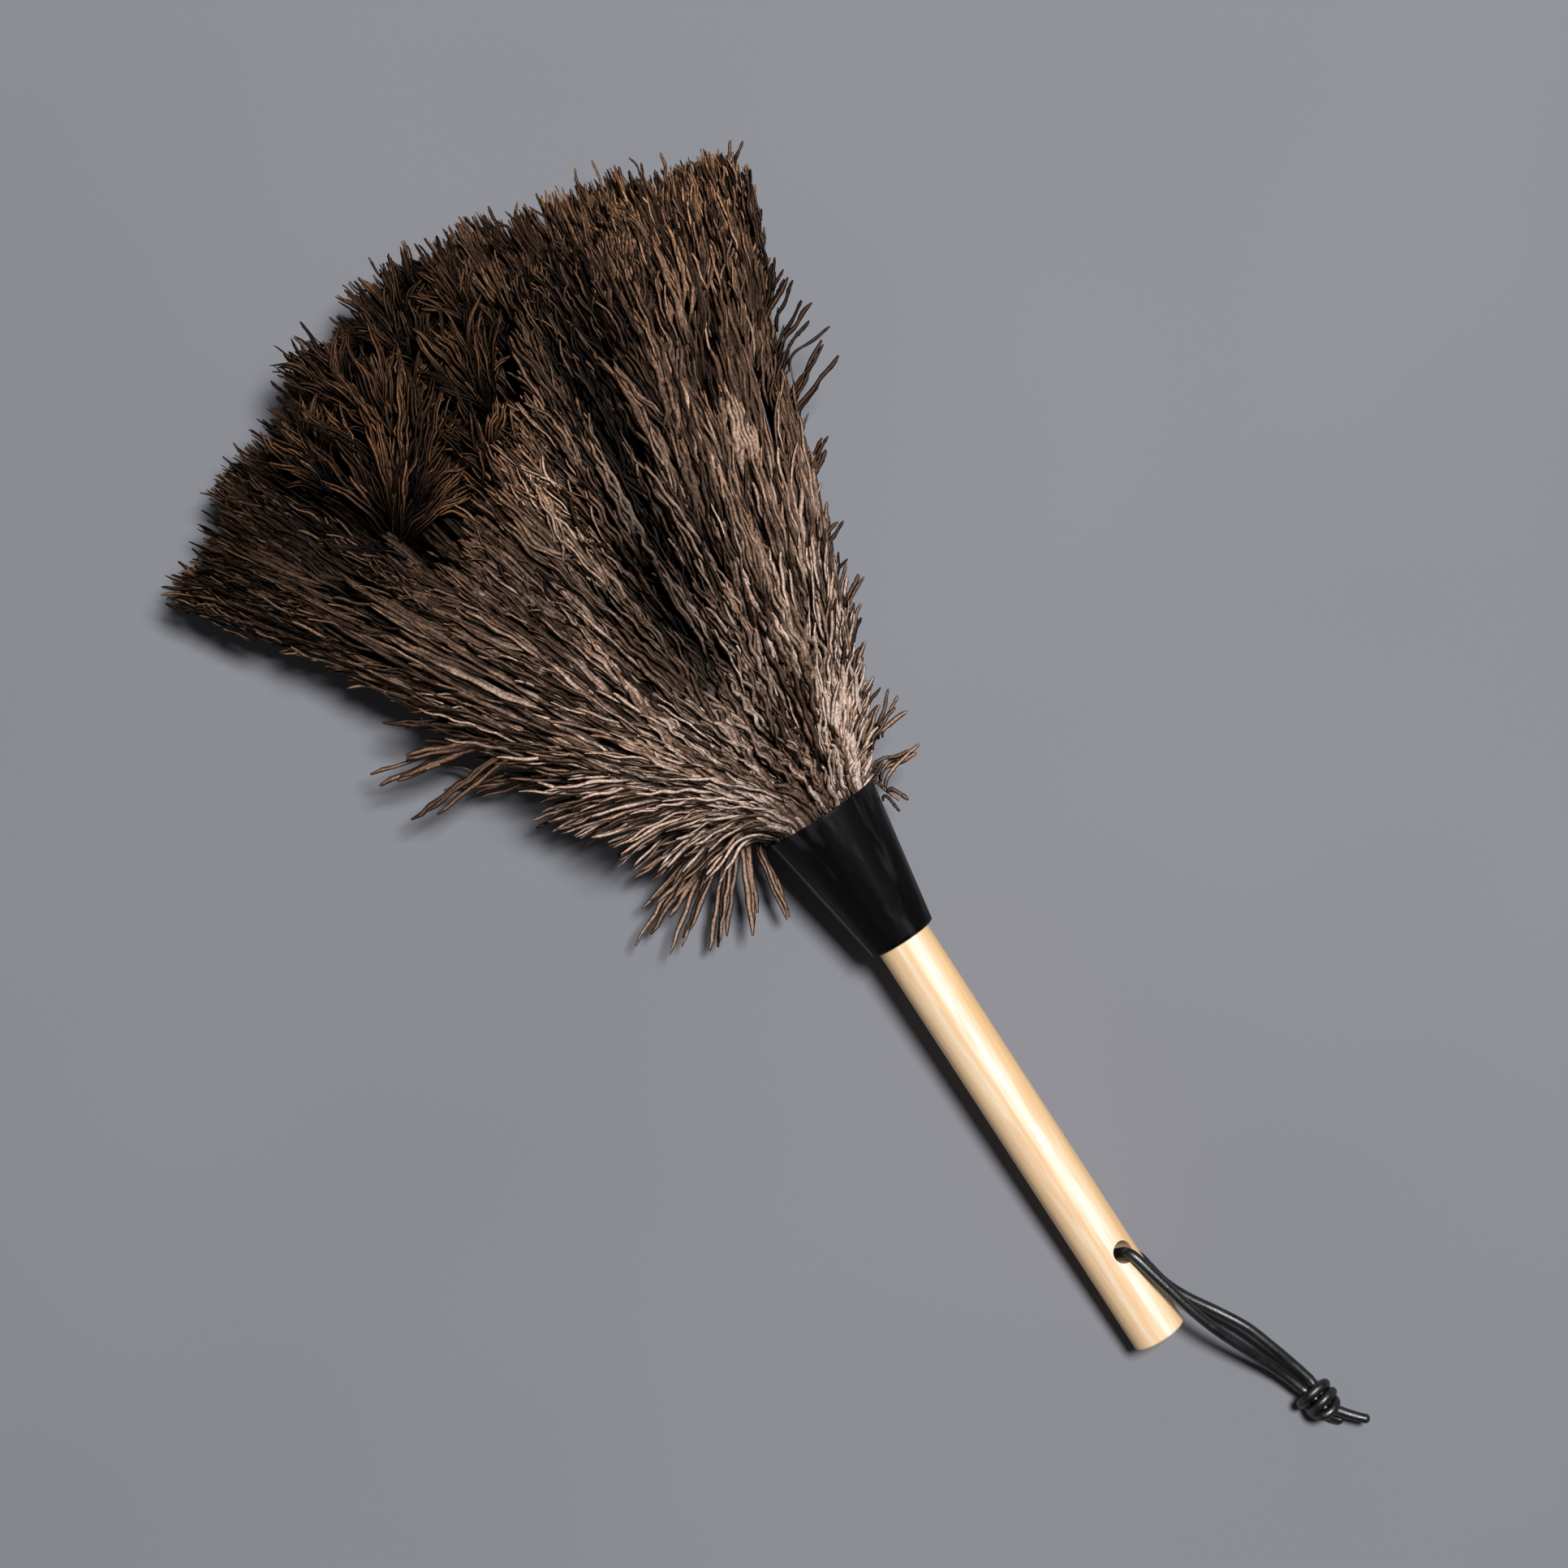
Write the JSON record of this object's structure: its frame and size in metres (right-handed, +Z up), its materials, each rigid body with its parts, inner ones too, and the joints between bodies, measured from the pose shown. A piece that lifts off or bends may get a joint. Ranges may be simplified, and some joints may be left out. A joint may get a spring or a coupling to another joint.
{
  "type": "feather duster",
  "caption": "Ostrich feather duster with a straight wooden handle, a tapered black collar and a leather hanging loop",
  "frame": {"origin": "middle of the footprint, without the hanging thong, on the surface that the duster lies on", "axes": "+X from the butt of the handle towards the feather tips, +Z up from the surface, +Y across"},
  "size_m": [0.5838, 0.2611, 0.0929],
  "materials": {
    "wood": "satin",
    "collar_leathercloth": "satin",
    "twine": "matte",
    "inner_plumes": "matte",
    "middle_plumes": "matte",
    "outer_plumes": "matte",
    "thong_leather": "satin"
  },
  "bodies": {
    "duster": {"handle": "wood", "collar": "collar_leathercloth", "inner_binding": "twine", "middle_binding": "twine", "outer_binding": "twine", "inner_feather_01": "inner_plumes", "inner_feather_02": "inner_plumes", "inner_feather_03": "inner_plumes", "inner_feather_04": "inner_plumes", "inner_feather_05": "inner_plumes", "inner_feather_06": "inner_plumes", "inner_feather_07": "inner_plumes", "inner_feather_08": "inner_plumes", "inner_feather_09": "inner_plumes", "middle_feather_01": "middle_plumes", "middle_feather_02": "middle_plumes", "middle_feather_03": "middle_plumes", "middle_feather_04": "middle_plumes", "middle_feather_05": "middle_plumes", "middle_feather_06": "middle_plumes", "middle_feather_07": "middle_plumes", "middle_feather_08": "middle_plumes", "middle_feather_09": "middle_plumes", "middle_feather_10": "middle_plumes", "middle_feather_11": "middle_plumes", "middle_feather_12": "middle_plumes", "middle_feather_13": "middle_plumes", "middle_feather_14": "middle_plumes", "outer_feather_01": "outer_plumes", "outer_feather_02": "outer_plumes", "outer_feather_03": "outer_plumes", "outer_feather_04": "outer_plumes", "outer_feather_05": "outer_plumes", "outer_feather_06": "outer_plumes", "outer_feather_07": "outer_plumes", "outer_feather_08": "outer_plumes", "outer_feather_09": "outer_plumes", "outer_feather_10": "outer_plumes", "outer_feather_11": "outer_plumes", "outer_feather_12": "outer_plumes", "outer_feather_13": "outer_plumes", "outer_feather_14": "outer_plumes", "outer_feather_15": "outer_plumes", "outer_feather_16": "outer_plumes", "outer_feather_17": "outer_plumes", "outer_feather_18": "outer_plumes"},
    "hanging_thong": {"thong": "thong_leather", "thong_knot": "thong_leather", "thong_tails": "thong_leather"}
  },
  "joints": [
    {"name": "thong_swing", "type": "hinge", "parent": "duster", "child": "hanging_thong", "pos_m": [-0.21862, -0.028, 0.01642], "axis": [-0.0673, -0.515, 0.8545], "range_deg": [0, 65]}
  ]
}
